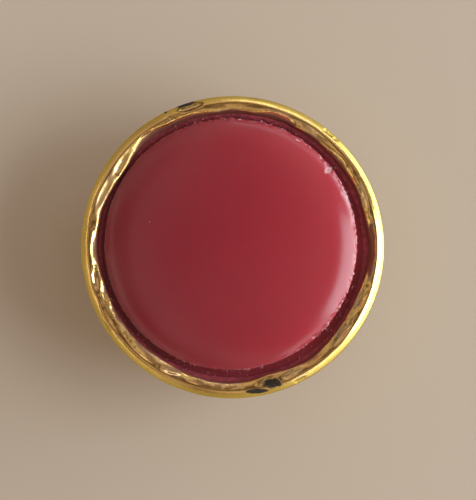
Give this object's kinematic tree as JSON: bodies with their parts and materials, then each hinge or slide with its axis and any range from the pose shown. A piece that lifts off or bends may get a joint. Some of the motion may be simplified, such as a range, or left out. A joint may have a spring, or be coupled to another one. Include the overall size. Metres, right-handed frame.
{
  "type": "shank button",
  "caption": "Round sew-on shank button: a low domed red plastic insert in a hammered gilt metal rim, with a crimped back plate and a bent wire loop for the thread.",
  "frame": {"origin": "lowest point of the wire loop on the button's axis, where the cloth lies", "axes": "+Z out of the button's face, X across the loop from leg to leg, Y the way the thread passes through the loop"},
  "size_m": [0.0254, 0.0254, 0.0095],
  "materials": {
    "gilt_rim": "polished",
    "red_insert": "satin",
    "cement": "semi-gloss",
    "card": "matte",
    "back_brass": "satin",
    "washer_steel": "satin",
    "wire_brass": "satin"
  },
  "bodies": {
    "root": {"rim_shell": "gilt_rim", "domed_insert": "red_insert", "cement_bead": "cement", "packing_disc": "card", "back_plate": "back_brass", "clench_washer": "washer_steel", "shank_collet": "back_brass", "shank_loop": "wire_brass"}
  },
  "joints": []
}
